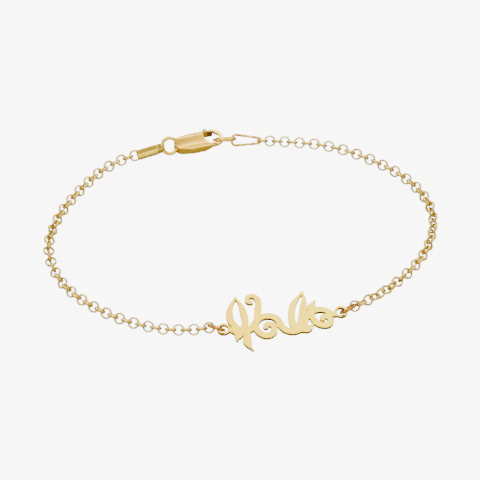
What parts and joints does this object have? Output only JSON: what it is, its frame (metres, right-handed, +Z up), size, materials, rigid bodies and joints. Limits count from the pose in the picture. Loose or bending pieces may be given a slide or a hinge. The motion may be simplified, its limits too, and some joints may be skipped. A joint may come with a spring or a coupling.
{
  "type": "nameplate bracelet",
  "caption": "Fine rolo chain bracelet with a pierced vine scroll plate between two jump rings, an end tag, a lobster clasp with a sprung gate and a drop-shaped end loop.",
  "frame": {"origin": "middle of the loop's box at the table that it lies on", "axes": "+Z up from the table, +X to the right, and the plate lies on the near side at -Y with the clasp on the far side"},
  "size_m": [0.0692, 0.053, 0.0029],
  "materials": {
    "satin_gold": "satin gold",
    "ring_gold": "polished gold",
    "chain_gold": "polished gold",
    "tag_gold": "satin gold",
    "clasp_gold": "polished gold"
  },
  "bodies": {
    "bracelet": {"nameplate": "satin_gold", "plate_ring_left": "ring_gold", "plate_ring_right": "ring_gold", "chain_left": "chain_gold", "chain_right": "chain_gold", "end_tag": "tag_gold", "tag_ring": "ring_gold", "clasp_body": "clasp_gold", "clasp_rivet": "clasp_gold", "catch_ring": "ring_gold", "teardrop_loop": "ring_gold"},
    "lever": {"clasp_lever": "clasp_gold"}
  },
  "joints": [
    {"name": "lever_hinge", "type": "hinge", "parent": "bracelet", "child": "lever", "pos_m": [-0.00827, 0.02388, 0.00075], "axis": [0, 0, -1], "range_deg": [0, 16], "stiffness_Nm_per_rad": 0.005}
  ]
}
